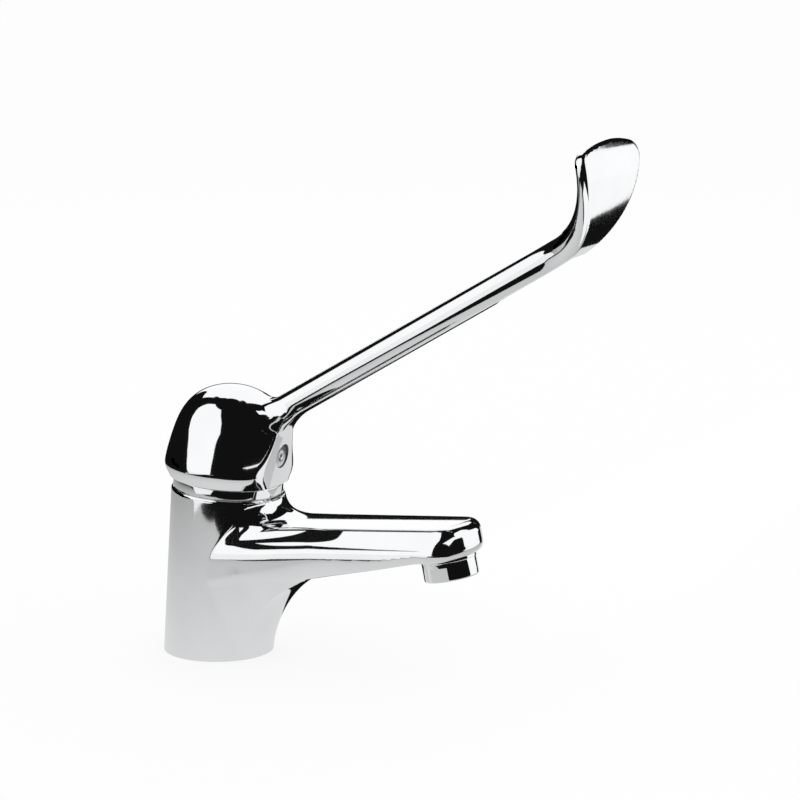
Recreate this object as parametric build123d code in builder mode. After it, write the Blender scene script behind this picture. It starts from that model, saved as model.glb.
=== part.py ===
from build123d import *
from math import cos, radians, sin, tan
import os

os.makedirs("parts", exist_ok=True)

# Frame: the origin is the centre of the foot, +X points along the spout, +Z is up.
# Heights are measured along the leaning axis of the column, unless they say otherwise.

# Column of the body, which leans forward over the basin
lean = 4.4
foot_radius = 25.0
head_radius = 25.5
collar_height = 75.5
head_round = 1.0

# Spout: rays from one hinge point on the floor carry the sections of its throat
hinge_x = 57.0
root_width = 49.0
root_middle = 72.0
apron_reach = 31.4
apron_round = 13.0
apron_hollow = 23.0
spout_width = 42.0
nose_width = 39.0
belly_at_hinge = 41.6
belly_rise = 14.2
deck_at_hinge = 65.3
deck_rise = 5.1
nose_x = 134.0
nose_overhang = 14.4
nose_corner = 18.5
shoulder_round = 5.5
belly_round = 9.0

# Outlet, square to the belly of the nose
outlet_x = 115.9
outlet_z = 54.3
outlet_tilt = 12.0
outlet_thread = 11.0
outlet_depth = 9.0
outlet_lip = 0.6
outlet_face = 12.4
outlet_boss = 4.0
waterway_width = 18.0
waterway_height = 8.0
waterway_start_x = 8.0
waterway_turn_x = 24.0
waterway_low_z = 31.5
waterway_hinge_z = 52.0
waterway_rise = 20.5
port_drop = 7.0

# Foot: open recess, supply threads, stud thread and gasket groove
recess_radius = 20.0
recess_depth = 22.0
inlet_radius = 4.5
inlet_thread_length = 12.0
stud_radius = 3.4
stud_thread_length = 12.0
stud_back = 13.0
gasket_radius = 22.6
gasket_width = 2.4
gasket_height = 2.2

# Cartridge chamber, bored along the leaning axis
chamber_floor = 40.0
chamber_radius = 20.1
nut_thread_radius = 21.5
nut_thread_length = 10.0

# Clearances
thread_gap = 0.05
fit_gap = 0.1
loose_gap = 0.3

# Cover ring
ring_radius = 24.7
ring_height = 4.6
ring_wall = 2.6
ring_lip = 1.2
ring_round = 0.6

# Cartridge nut
nut_top = 78.4
nut_bore = 17.9
nut_slot_width = 4.0
nut_slot_depth = 2.0
nut_slot_count = 6

# Cartridge casing and its ported base
casing_wall = 2.7
casing_radius = 19.9
shoulder_height = 66.0
shoulder_thickness = 2.4
neck_wall = 2.7
neck_radius = 17.6
neck_top = 79.0
base_plate_height = 4.7
port_radius = 3.2
inlet_back = 4.6
inlet_spread = 8.0
outlet_forward = 9.5
peg_radius = 1.8
peg_length = 3.0
peg_forward = 6.3
peg_spread = 13.6

# Seals of the ports
base_seal_wall = 1.6
base_seal_height = 2.5
disc_seal_rim = 1.4
disc_seal_height = 1.9

# Ceramic discs and the coupler on them
fixed_disc_height = 4.5
moving_disc_radius = 13.4
moving_disc_height = 4.0
hollow_length = 17.0
hollow_width = 9.0
hollow_depth = 2.0
coupler_radius = 13.0
coupler_height = 5.6
coupler_floor = 0.5

# Carrier, stem and pivot pin
flange_height = 1.8
pivot_radius = 2.0
stem_square = 8.0
stem_rise = 28.0
stem_shank = 4.5
stem_drop = 12.5
stem_neck = 2.2
stem_ball = 3.0
ball_play = 0.4
lift_travel = 25.0
slot_length = 13.2

# Handle: dome, bowed front, lever and paddle
rim_gap = 0.4
rim_wall = 1.0
dome_radius = 29.0
dome_tuck = 2.4
dome_belly = 86.4
shoulder_slope = 4.3
shoulder_level = 105.3
crown_level = 119.0
dome_top = 122.4
dome_wall = 2.6
roof_level = 108.0
front_cut = 2.2
front_bow = 62.0
front_tip = 5.7
web_width = 15.0
web_top = 111.0
web_round = 4.0
socket_block = 15.0
lever_x = 20.0
lever_z = 104.5
lever_pitch = 30.65
lever_run = 173.9
lever_width = 16.0
lever_height = 11.5
lever_round = 5.2
paddle_bend = 38.0
paddle_width = 61.0
paddle_thickness = 5.0
paddle_tip = 4.2
paddle_bow = 3.5
paddle_corner = 8.0

# Handle screw behind the index plug
plug_rise = 13.8
plug_radius = 5.5
plug_depth = 2.4
plug_dimple = 0.9
plug_sink = 0.9
screw_radius = 3.0
screw_length = 9.0
screw_point = 1.5
screw_point_length = 1.2
screw_key = 3.0
screw_boss = 6.5

# Aerator
aerator_radius = 12.1
aerator_drop = 8.3
aerator_thread_length = 6.0
aerator_bore = 9.8
aerator_lip = 1.1
aerator_flat = 11.3
aerator_flat_height = 6.2
insert_height = 9.0
jet_pitch = 2.6
jet_radius = 0.95
jet_rows = 5
jet_plate = 2.0
insert_wall = 1.2
screen_height = 0.8
screen_pitch = 2.0
screen_hole = 0.7
screen_rows = 7
washer_height = 1.8

axis_x = sin(radians(lean))
axis_z = cos(radians(lean))
lean_axis = Axis((0, 0, 0), (axis_x, 0, axis_z))
lean_frame = Plane(origin=(0, 0, 0), x_dir=(axis_z, 0, -axis_x), z_dir=(axis_x, 0, axis_z))
lean_side = Plane(origin=(0, 0, 0), x_dir=(axis_z, 0, -axis_x), z_dir=(0, -1, 0))


def across(height, forward=0, left=0, tip=0):
    """Plane square to the leaning axis, or tipped forward from it, at a place on it."""
    return Plane(lean_frame.location * Pos(forward, left, height) * Rot(0, tip, 0))


# Body: one brass casting with column, spout, foot and cartridge chamber
deck_slope = tan(radians(deck_rise))
belly_slope = tan(radians(belly_rise))


def station(angle):
    """Where a ray from the hinge enters and leaves the throat, and its width and two roundings there."""
    share = (angle - 90) / 90
    enter = apron_reach + (belly_at_hinge - apron_reach) * max(1 - 4 / 3 * share, 0) ** 1.4
    leave = min(root_middle, deck_at_hinge / (sin(radians(angle)) - deck_slope * cos(radians(angle))))
    width = spout_width + (root_width - spout_width) * min(4 / 3 * share, 1)
    outer_round = shoulder_round + (apron_round - shoulder_round) * share
    inner_round = belly_round + (apron_hollow - belly_round) * share
    return enter, leave, width, outer_round, inner_round


outlet_plane = Plane(
    origin=(outlet_x, 0, outlet_z),
    x_dir=(cos(radians(outlet_tilt)), 0, sin(radians(outlet_tilt))),
    z_dir=(sin(radians(outlet_tilt)), 0, -cos(radians(outlet_tilt))),
)
port_places = [(outlet_forward, 0), (-inlet_back, inlet_spread), (-inlet_back, -inlet_spread)]
peg_places = [(peg_forward, peg_spread), (peg_forward, -peg_spread)]

with BuildPart() as body:
    for step, width in ((0, spout_width), (nose_x - hinge_x, nose_width)):
        belly = belly_at_hinge + step * belly_slope
        height = deck_at_hinge + step * deck_slope - belly
        start = (hinge_x + step, 0, belly)
        with BuildSketch(Plane(origin=start, x_dir=(0, 1, 0), z_dir=(1, 0, 0))) as section:
            Rectangle(width, height, align=(Align.CENTER, Align.MIN))
            fillet(section.vertices().group_by(Axis.Y)[-1], shoulder_round)
            fillet(section.vertices().group_by(Axis.Y)[0], min(belly_round, height / 2))
    loft(ruled=True)
    with BuildSketch(outlet_plane) as plan:
        with Locations((nose_overhang, 0)):
            Rectangle(2 * outlet_x, nose_width + fit_gap, align=(Align.MAX, Align.CENTER))
        fillet(plan.vertices().group_by(Axis.X)[-1], nose_corner)
    extrude(amount=collar_height, both=True, mode=Mode.INTERSECT)
    for angles in ((90, 101, 112, 125, 137), (137, 150, 165, 180)):
        for angle in angles:
            enter, leave, width, outer_round, inner_round = station(angle)
            ray = (cos(radians(angle)), 0, sin(radians(angle)))
            onward = (sin(radians(angle)), 0, -cos(radians(angle)))
            start = (hinge_x + enter * ray[0], 0, enter * ray[2])
            with BuildSketch(Plane(origin=start, x_dir=(0, 1, 0), z_dir=onward)) as section:
                Rectangle(width, leave - enter, align=(Align.CENTER, Align.MIN))
                fillet(section.vertices().group_by(Axis.Y)[-1], outer_round)
                fillet(section.vertices().group_by(Axis.Y)[0], inner_round)
        loft()
    with BuildSketch(Plane.XY):
        Circle(foot_radius)
    with BuildSketch(across(collar_height)):
        Circle(head_radius)
    loft(ruled=True)
    with BuildSketch(outlet_plane):
        Circle(outlet_face)
    extrude(amount=-outlet_boss)
    with BuildSketch(outlet_plane):
        Circle(outlet_face)
    extrude(amount=outlet_boss, mode=Mode.SUBTRACT)
    # Head: round edge, chamber and nut thread
    round_edges = body.edges().filter_by(GeomType.CIRCLE)
    fillet(round_edges.filter_by(lambda edge: abs(edge.radius - head_radius) < thread_gap), head_round)
    with BuildSketch(across(chamber_floor)):
        Circle(chamber_radius)
    extrude(amount=collar_height, mode=Mode.SUBTRACT)
    with BuildSketch(across(collar_height)):
        Circle(nut_thread_radius)
    extrude(amount=-nut_thread_length, mode=Mode.SUBTRACT)
    # Foot: recess, gasket groove, supply threads, stud thread
    with BuildSketch(Plane.XY):
        Circle(recess_radius)
    extrude(amount=recess_depth, mode=Mode.SUBTRACT)
    with BuildSketch(Plane.XY):
        Circle(gasket_radius + gasket_width / 2 + thread_gap)
        Circle(gasket_radius - gasket_width / 2 - thread_gap, mode=Mode.SUBTRACT)
    extrude(amount=gasket_height + thread_gap, mode=Mode.SUBTRACT)
    with BuildSketch(across(chamber_floor)):
        with Locations(port_places[1:]):
            Circle(port_radius)
    extrude(amount=-(chamber_floor - recess_depth), mode=Mode.SUBTRACT)
    with BuildSketch(across(recess_depth + inlet_thread_length)):
        with Locations(port_places[1:]):
            Circle(inlet_radius)
    extrude(amount=-2 * inlet_thread_length, mode=Mode.SUBTRACT)
    with BuildSketch(across(recess_depth + stud_thread_length)):
        with Locations((-stud_back, 0)):
            Circle(stud_radius)
    extrude(amount=-2 * stud_thread_length, mode=Mode.SUBTRACT)
    with BuildSketch(across(chamber_floor)):
        with Locations(peg_places):
            Circle(peg_radius + fit_gap)
    extrude(amount=-peg_length, mode=Mode.SUBTRACT)
    # Water passes under the chamber, climbs the throat and runs on to the outlet
    water_end = outlet_plane.offset(-outlet_depth).origin
    with BuildSketch(across(chamber_floor)):
        with Locations(port_places[0]):
            Circle(port_radius)
    extrude(amount=-port_drop, mode=Mode.SUBTRACT)
    with BuildSketch(outlet_plane):
        Circle(outlet_thread)
    extrude(amount=-outlet_depth, mode=Mode.SUBTRACT)
    for x, z, tilt in (
        (waterway_start_x, waterway_low_z, 0),
        (waterway_turn_x, waterway_low_z, outlet_tilt),
        (hinge_x, waterway_hinge_z, waterway_rise),
        (water_end.X, water_end.Z - outlet_lip, outlet_tilt),
    ):
        onward = (cos(radians(tilt)), 0, sin(radians(tilt)))
        with BuildSketch(Plane(origin=(x, 0, z), x_dir=(0, 1, 0), z_dir=onward)):
            SlotOverall(waterway_width, waterway_height)
    loft(ruled=True, mode=Mode.SUBTRACT)

# Base gasket: rubber ring in the groove of the foot
with BuildPart() as base_gasket:
    with BuildSketch(Plane.XY):
        Circle(gasket_radius + gasket_width / 2)
        Circle(gasket_radius - gasket_width / 2, mode=Mode.SUBTRACT)
    extrude(amount=gasket_height)

# Cover ring: thin chromed ring round the nut
with BuildPart() as cover_ring:
    with BuildSketch(across(collar_height)):
        Circle(ring_radius)
        Circle(ring_radius - ring_wall, mode=Mode.SUBTRACT)
    extrude(amount=ring_height)
    with BuildSketch(across(collar_height + ring_height - ring_lip)):
        Circle(ring_radius - ring_wall)
        Circle(neck_radius + loose_gap, mode=Mode.SUBTRACT)
    extrude(amount=ring_lip)
    round_edges = cover_ring.edges().filter_by(GeomType.CIRCLE)
    fillet(round_edges.filter_by(lambda edge: abs(edge.radius - ring_radius) < thread_gap), ring_round)

# Cartridge nut: threaded ring with slots for its spanner
with BuildPart() as cartridge_nut:
    with BuildSketch(across(shoulder_height + thread_gap)):
        Circle(nut_thread_radius - thread_gap)
        Circle(nut_bore, mode=Mode.SUBTRACT)
    extrude(amount=nut_top - shoulder_height - thread_gap)
    with BuildSketch(across(nut_top)):
        with PolarLocations((nut_thread_radius + nut_bore) / 2, nut_slot_count):
            Rectangle(2 * (nut_thread_radius - nut_bore), nut_slot_width)
    extrude(amount=-nut_slot_depth, mode=Mode.SUBTRACT)

# Cartridge base: ported plate with pockets for the seals and two pegs
base_bottom = chamber_floor + loose_gap
base_top = base_bottom + base_plate_height
pocket_depth = base_seal_height - loose_gap + thread_gap

with BuildPart() as cartridge_base:
    with BuildSketch(across(base_bottom)):
        Circle(casing_radius)
        with Locations(port_places):
            Circle(port_radius, mode=Mode.SUBTRACT)
    extrude(amount=base_plate_height)
    with BuildSketch(across(base_bottom)):
        with Locations(port_places):
            Circle(port_radius + base_seal_wall + fit_gap)
    extrude(amount=pocket_depth, mode=Mode.SUBTRACT)
    with BuildSketch(across(base_bottom)):
        with Locations(peg_places):
            Circle(peg_radius)
    extrude(amount=-(peg_length - loose_gap))

# Base seals: three rubber rings between the base and the chamber floor
with BuildPart() as base_seals:
    with BuildSketch(across(chamber_floor)):
        with Locations(port_places):
            Circle(port_radius + base_seal_wall)
        with Locations(port_places):
            Circle(port_radius, mode=Mode.SUBTRACT)
    extrude(amount=base_seal_height)

# Disc seal: one shaped rubber seal, a rim and a ring round each port
disc_radius = casing_radius - casing_wall - 2 * fit_gap
seal_bottom = base_top + thread_gap

with BuildPart() as disc_seal:
    with BuildSketch(across(seal_bottom)):
        Circle(disc_radius)
        Circle(disc_radius - disc_seal_rim, mode=Mode.SUBTRACT)
        with Locations(port_places):
            Circle(port_radius + base_seal_wall)
        with Locations((port_places[0][0] + port_radius + base_seal_wall, 0)):
            Rectangle(2 * disc_seal_rim, disc_seal_rim)
        with Locations([(-inlet_back, 2 * inlet_spread), (-inlet_back, -2 * inlet_spread)]):
            Rectangle(disc_seal_rim, inlet_spread)
        Circle(disc_radius, mode=Mode.INTERSECT)
        with Locations(port_places):
            Circle(port_radius, mode=Mode.SUBTRACT)
    extrude(amount=disc_seal_height)

# Fixed disc: ceramic, with the three ports
fixed_bottom = seal_bottom + disc_seal_height + thread_gap
fixed_top = fixed_bottom + fixed_disc_height

with BuildPart() as fixed_disc:
    with BuildSketch(across(fixed_bottom)):
        Circle(disc_radius)
        with Locations(port_places):
            Circle(port_radius, mode=Mode.SUBTRACT)
    extrude(amount=fixed_disc_height)

# Cartridge casing: shell round the discs, with the neck for the carrier
neck_bore = neck_radius - neck_wall
chamber_top = shoulder_height - shoulder_thickness

with BuildPart() as cartridge_casing:
    with BuildSketch(across(base_top + thread_gap)):
        Circle(casing_radius)
    extrude(amount=shoulder_height - base_top - thread_gap)
    with BuildSketch(across(shoulder_height)):
        Circle(neck_radius)
    extrude(amount=neck_top - shoulder_height)
    with BuildSketch(across(base_top)):
        Circle(casing_radius - casing_wall)
    extrude(amount=chamber_top - base_top, mode=Mode.SUBTRACT)
    with BuildSketch(across(chamber_top)):
        Circle(neck_bore)
    extrude(amount=neck_top, mode=Mode.SUBTRACT)

# Moving disc: ceramic, with a blind hollow that joins the ports; it stands back when closed
half_lift = lift_travel / 2
slide_back = stem_drop * sin(radians(half_lift))
moving_bottom = fixed_top + thread_gap
moving_top = moving_bottom + moving_disc_height

with BuildPart() as moving_disc:
    with BuildSketch(across(moving_bottom, -slide_back)):
        Circle(moving_disc_radius)
    extrude(amount=moving_disc_height)
    with BuildSketch(across(moving_bottom, -slide_back)):
        SlotOverall(hollow_length, hollow_width, rotation=90)
    extrude(amount=hollow_depth, mode=Mode.SUBTRACT)

# Disc coupler: plastic plate on the moving disc, with the socket of the stem's ball
coupler_bottom = moving_top + thread_gap
coupler_top = coupler_bottom + coupler_height
pivot_height = coupler_bottom + coupler_floor + ball_play + stem_ball + stem_drop

with BuildPart() as disc_coupler:
    with BuildSketch(across(coupler_bottom, -slide_back)):
        Circle(coupler_radius)
    extrude(amount=coupler_height)
    with BuildSketch(across(coupler_bottom + coupler_floor, -slide_back)):
        Circle(stem_ball + fit_gap)
    extrude(amount=coupler_height, mode=Mode.SUBTRACT)

# Carrier: plastic rotor that turns in the neck and holds the pin
carrier_bottom = coupler_top + loose_gap
pin_plane = Plane(lean_frame.location * Pos(0, 0, pivot_height) * Rot(90, 0, 0))

with BuildPart() as carrier:
    with BuildSketch(across(carrier_bottom)):
        Circle(casing_radius - casing_wall - loose_gap)
    extrude(amount=flange_height)
    with BuildSketch(across(carrier_bottom)):
        Circle(neck_bore - fit_gap)
    extrude(amount=neck_top - loose_gap - carrier_bottom)
    with BuildSketch(across(carrier_bottom)):
        Rectangle(slot_length, stem_square + 4 * fit_gap)
    extrude(amount=neck_top, mode=Mode.SUBTRACT)
    with BuildSketch(pin_plane):
        Circle(pivot_radius + thread_gap)
    extrude(amount=neck_radius, both=True, mode=Mode.SUBTRACT)

# Pivot pin: steel pin across the carrier
with BuildPart() as pivot_pin:
    with BuildSketch(pin_plane):
        Circle(pivot_radius)
    extrude(amount=neck_bore - 2 * loose_gap, both=True)

# Stem: square metal lever with a ball at its foot, tipped forward when closed
with BuildPart() as stem:
    with BuildSketch(across(pivot_height, tip=half_lift)):
        Rectangle(stem_square, stem_square)
    extrude(amount=stem_rise)
    with BuildSketch(across(pivot_height, tip=half_lift)):
        Rectangle(stem_square, stem_square)
    extrude(amount=-stem_shank)
    with BuildSketch(across(pivot_height, tip=half_lift)):
        Circle(stem_neck)
    extrude(amount=-stem_drop)
    ball_place = Plane(across(pivot_height, tip=half_lift).location * Pos(0, 0, -stem_drop))
    with Locations(ball_place.location):
        Sphere(stem_ball)
    with BuildSketch(pin_plane):
        Circle(pivot_radius + fit_gap)
    extrude(amount=neck_radius, both=True, mode=Mode.SUBTRACT)

# Handle: one zinc casting with dome, bowed front, lever and paddle
rim_height = collar_height + ring_height + rim_gap
rim_radius = dome_radius - dome_tuck
rim_bore = rim_radius - rim_wall
shoulder_radius = dome_radius - shoulder_slope
crown_radius = dome_radius / 2
front_reach = dome_radius - front_cut
plug_face = front_reach - plug_sink
plug_height = rim_height + plug_rise
bow_middle = across(plug_height, front_reach, tip=front_tip).location * Pos(-front_bow, 0, 0)
bow_plane = Plane(bow_middle * Rot(0, 0, 180))
lever_way = Vector(cos(radians(lever_pitch)), 0, sin(radians(lever_pitch)))
lever_from = Vector(lever_x, 0, lever_z)
bend_from = lever_from + lever_way * lever_run
bend_middle = bend_from + Vector(-lever_way.Z, 0, lever_way.X) * paddle_bend
half_paddle = paddle_width / 2
tilt_steps = [(45.0, 0.29, 0.60), (60.0, 0.57, 0.42), (75.0, 0.76, 0.24), (90.0, 0.95, 0.08), (105.0, 1.0, 0.0)]

with BuildPart() as cavity:
    with BuildSketch(lean_side):
        with BuildLine():
            rim = Line((0, rim_height - dome_wall), (rim_bore, rim_height - dome_wall))
            lip = Line(rim @ 1, (rim_bore, rim_height))
            side = Line(lip @ 1, (dome_radius - dome_wall, dome_belly))
            crown = Spline(side @ 1, (shoulder_radius - dome_wall, shoulder_level - dome_wall),
                           (0, roof_level), tangents=[(0, 1), (-1, 0)])
            Line(crown @ 1, rim @ 0)
        make_face()
    revolve(axis=lean_axis)
    with BuildSketch(bow_plane):
        Rectangle(4 * front_bow, 4 * front_bow)
        Circle(front_bow - dome_wall, mode=Mode.SUBTRACT)
    extrude(amount=dome_radius, both=True, mode=Mode.SUBTRACT)
    with BuildSketch(across(pivot_height, tip=half_lift).offset(stem_rise / 2)):
        Rectangle(socket_block, socket_block)
    extrude(amount=dome_top, mode=Mode.SUBTRACT)
    with BuildSketch(Plane(across(plug_height).location * Rot(0, 90, 0))):
        Circle(screw_boss)
    extrude(amount=dome_radius, mode=Mode.SUBTRACT)

with BuildPart() as handle:
    with BuildSketch(lean_side):
        with BuildLine():
            foot = Line((0, rim_height), (rim_radius, rim_height))
            skirt = ThreePointArc(foot @ 1, ((rim_radius + 2 * dome_radius) / 3,
                                  (rim_height + dome_belly) / 2), (dome_radius, dome_belly))
            crown = Spline(skirt @ 1, (shoulder_radius, shoulder_level),
                           (crown_radius, crown_level), (0, dome_top), tangents=[(0, 1), (-1, 0)])
            Line(crown @ 1, foot @ 0)
        make_face()
    revolve(axis=lean_axis)
    with BuildSketch(across(rim_height + web_round)) as web:
        Rectangle(dome_radius, web_width, align=(Align.MIN, Align.CENTER))
        fillet(web.vertices().group_by(Axis.X)[-1], web_round)
    extrude(amount=web_top - rim_height - web_round)
    with BuildSketch(bow_plane):
        Rectangle(4 * front_bow, 4 * front_bow)
        Circle(front_bow, mode=Mode.SUBTRACT)
    extrude(amount=dome_radius, both=True, mode=Mode.SUBTRACT)
    for reach in (0, lever_run):
        with BuildSketch(Plane(origin=lever_from + lever_way * reach, x_dir=(0, 1, 0), z_dir=lever_way)):
            RectangleRounded(lever_width, lever_height, lever_round)
    loft(ruled=True)
    with BuildSketch(Plane(origin=bend_from, x_dir=(0, 1, 0), z_dir=lever_way)):
        RectangleRounded(lever_width, lever_height, lever_round)
    for tilt, widening, stoutness in tilt_steps:
        way = Vector(cos(radians(tilt)), 0, sin(radians(tilt)))
        place = bend_middle + Vector(way.Z, 0, -way.X) * paddle_bend
        width = lever_width + (paddle_width - lever_width) * widening
        thickness = paddle_thickness + (lever_height - paddle_thickness) * stoutness
        with BuildSketch(Plane(origin=place, x_dir=(0, 1, 0), z_dir=way)):
            RectangleRounded(width, thickness, thickness * lever_round / lever_height)
    tip_place = place + way * paddle_tip
    with BuildSketch(Plane(origin=tip_place, x_dir=(0, 1, 0), z_dir=way)):
        RectangleRounded(paddle_width, paddle_thickness, paddle_thickness * lever_round / lever_height)
    loft()
    with BuildSketch(Plane(origin=tip_place, x_dir=(0, 1, 0), z_dir=(1, 0, 0))) as trim:
        Rectangle(2 * paddle_width, paddle_width)
        with BuildLine():
            left_side = Line((-half_paddle, -half_paddle), (-half_paddle, -paddle_bow))
            tip_edge = ThreePointArc(left_side @ 1, (0, 0), (half_paddle, -paddle_bow))
            right_side = Line(tip_edge @ 1, (half_paddle, -half_paddle))
            Line(right_side @ 1, left_side @ 0)
        make_face(mode=Mode.SUBTRACT)
        tip_corners = trim.vertices().filter_by_position(Axis.Y, -2 * paddle_bow, 0)
        fillet(tip_corners, paddle_corner)
    extrude(amount=paddle_bend, both=True, mode=Mode.SUBTRACT)
    add(cavity.part, mode=Mode.SUBTRACT)
    with BuildSketch(across(pivot_height, tip=half_lift)):
        Rectangle(stem_square + fit_gap, stem_square + fit_gap)
    extrude(amount=stem_rise + loose_gap, mode=Mode.SUBTRACT)
    with BuildSketch(Plane(across(plug_height, plug_face - plug_depth).location * Rot(0, 90, 0))):
        Circle(plug_radius)
    extrude(amount=dome_radius - plug_face + plug_depth, mode=Mode.SUBTRACT)
    with BuildSketch(Plane(across(plug_height, plug_face).location * Rot(0, 90, 0))):
        Circle(screw_radius + thread_gap)
    extrude(amount=-plug_face + socket_block / 2, mode=Mode.SUBTRACT)

# Handle screw: grub screw with a dog point that presses on the stem
stem_face = (plug_height - pivot_height) * tan(radians(half_lift)) + stem_square / 2 / cos(radians(half_lift))
point_from = stem_face + screw_point * tan(radians(half_lift)) + thread_gap

with BuildPart() as handle_screw:
    with BuildSketch(Plane(across(plug_height, point_from).location * Rot(0, 90, 0))):
        Circle(screw_point)
    extrude(amount=screw_point_length)
    with BuildSketch(Plane(across(plug_height, point_from + screw_point_length).location * Rot(0, 90, 0))):
        Circle(screw_radius)
    extrude(amount=screw_length)
    head_place = across(plug_height, point_from + screw_point_length + screw_length)
    with BuildSketch(Plane(head_place.location * Rot(0, 90, 0))):
        RegularPolygon(screw_key / 2, 6, major_radius=False)
    extrude(amount=-screw_key, mode=Mode.SUBTRACT)

# Index plug: round plug with a dimple, pressed into the front
plug_plane = Plane(across(plug_height, plug_face).location * Rot(0, 90, 0))

with BuildPart() as index_plug:
    with BuildSketch(plug_plane):
        Circle(plug_radius - thread_gap)
    extrude(amount=-(plug_depth - thread_gap))
    with BuildSketch(plug_plane):
        Circle(plug_dimple)
    extrude(amount=-plug_dimple, mode=Mode.SUBTRACT)

# Aerator housing: screwed ring with two wrench flats
with BuildPart() as aerator_housing:
    with BuildSketch(outlet_plane):
        Circle(outlet_thread - thread_gap)
    extrude(amount=-aerator_thread_length)
    with BuildSketch(outlet_plane):
        Circle(aerator_radius)
    extrude(amount=aerator_drop)
    with BuildSketch(outlet_plane.offset(aerator_drop - aerator_flat_height)):
        Circle(aerator_radius)
        Rectangle(2 * aerator_radius, 2 * aerator_flat, mode=Mode.SUBTRACT)
    extrude(amount=aerator_flat_height, mode=Mode.SUBTRACT)
    with BuildSketch(outlet_plane.offset(aerator_drop - aerator_lip)):
        Circle(aerator_bore)
    extrude(amount=-(aerator_drop + aerator_thread_length), mode=Mode.SUBTRACT)
    with BuildSketch(outlet_plane.offset(aerator_drop)):
        Circle(aerator_bore - aerator_lip)
    extrude(amount=-aerator_drop, mode=Mode.SUBTRACT)

# Aerator insert: jet regulator, a cup with a plate of small jets
insert_foot = aerator_drop - aerator_lip - thread_gap

with BuildPart() as aerator_insert:
    with BuildSketch(outlet_plane.offset(insert_foot)):
        Circle(aerator_bore - fit_gap)
    extrude(amount=-insert_height)
    with BuildSketch(outlet_plane.offset(insert_foot - jet_plate)):
        Circle(aerator_bore - fit_gap - insert_wall)
    extrude(amount=-insert_height, mode=Mode.SUBTRACT)
    with BuildSketch(outlet_plane.offset(insert_foot)):
        with HexLocations(jet_pitch / 2, jet_rows, jet_rows):
            Circle(jet_radius)
    extrude(amount=-jet_plate, mode=Mode.SUBTRACT)

# Aerator screen: fine strainer on top of the insert
with BuildPart() as aerator_screen:
    with BuildSketch(outlet_plane.offset(insert_foot - insert_height - thread_gap)):
        Circle(aerator_bore - fit_gap)
        with HexLocations(screen_pitch / 2, screen_rows, screen_rows):
            Circle(screen_hole, mode=Mode.SUBTRACT)
    extrude(amount=-screen_height)

# Aerator seal: rubber washer between the housing and the end of the thread
with BuildPart() as aerator_seal:
    with BuildSketch(outlet_plane.offset(-aerator_thread_length - thread_gap)):
        Circle(outlet_thread - fit_gap)
        Circle(aerator_bore - base_seal_wall, mode=Mode.SUBTRACT)
    extrude(amount=-washer_height)

pieces = {
    "body": body,
    "base_gasket": base_gasket,
    "cover_ring": cover_ring,
    "cartridge_nut": cartridge_nut,
    "cartridge_base": cartridge_base,
    "base_seals": base_seals,
    "disc_seal": disc_seal,
    "fixed_disc": fixed_disc,
    "cartridge_casing": cartridge_casing,
    "moving_disc": moving_disc,
    "disc_coupler": disc_coupler,
    "carrier": carrier,
    "pivot_pin": pivot_pin,
    "stem": stem,
    "handle": handle,
    "handle_screw": handle_screw,
    "index_plug": index_plug,
    "aerator_housing": aerator_housing,
    "aerator_insert": aerator_insert,
    "aerator_screen": aerator_screen,
    "aerator_seal": aerator_seal,
}
for name, piece in pieces.items():
    piece.part.label = name
    export_step(piece.part, f"parts/{name}.step")
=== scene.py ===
import bmesh
import bpy
import math
import numpy as np
from mathutils import Matrix, Vector


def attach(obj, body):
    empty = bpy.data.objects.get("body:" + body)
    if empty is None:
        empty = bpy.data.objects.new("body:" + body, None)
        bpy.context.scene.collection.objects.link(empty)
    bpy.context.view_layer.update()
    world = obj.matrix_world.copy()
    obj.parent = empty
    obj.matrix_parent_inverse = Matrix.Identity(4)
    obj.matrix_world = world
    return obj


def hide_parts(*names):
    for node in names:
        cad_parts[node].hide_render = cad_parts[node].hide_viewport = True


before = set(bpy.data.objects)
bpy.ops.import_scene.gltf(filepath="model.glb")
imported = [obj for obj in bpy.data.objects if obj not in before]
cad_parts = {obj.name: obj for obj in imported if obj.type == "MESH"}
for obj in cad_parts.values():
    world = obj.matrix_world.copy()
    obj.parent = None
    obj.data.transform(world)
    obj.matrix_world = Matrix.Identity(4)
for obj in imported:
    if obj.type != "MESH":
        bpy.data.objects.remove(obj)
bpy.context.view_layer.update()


# Body.
# One brass casting: a column that leans over the basin, with a low spout that sweeps out of it.
# It is ground, polished and chromed all over; only the foot and the threads stay as machined.
# The lean gives the tap a frame of its own: u forward, v to the left, h up the column's axis.
LEAN = math.radians(4.4)
FOOT_RADIUS = 0.0249
HEAD_RADIUS = 0.0255
COLLAR = 0.0755
COLLAR_ROUND = 0.0016
MID_SPOUT = 0.057
DECK_LEVEL = 0.0656
DECK_SLOPE = math.tan(math.radians(5.1))
DECK_CROWN = 0.16
SHOULDER = 0.0068
SHOULDER_DEPTH = 0.0135
BELLY_LEVEL = 0.0416
BELLY_SLOPE = math.tan(math.radians(14.2))
BELLY_ROUND = 0.0045
SPOUT_HALF = 0.021
ROOT_HALF = 0.0238
ROOT_RUN = 0.035
NOSE_HALF = 0.0195
NOSE_REACH = 0.1288
NOSE_LEVEL = 0.0665
NOSE_ROUND = 0.0185
NOSE_EDGE = 0.005
PLAN_SPARE = 0.003
PLAN_HALF = 0.2
OUTLET = Vector((0.1159, 0, 0.0543))
OUTLET_TILT = math.radians(12)
LIP = 0.0009
LIP_FROM, LIP_FULL = 0.105, 0.118
DECK_BLEND, SWEEP_BLEND = 0.013, 0.05
SWEEP_TOP, SWEEP_FULL = 0.056, 0.036
BLEND_FROM, BLEND_FULL = 0.004, 0.026
BODY_PITCH = 0.0009
BODY_ROOM = ((-0.03, -0.03, -0.012), (0.136, 0.03, 0.084))


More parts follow.
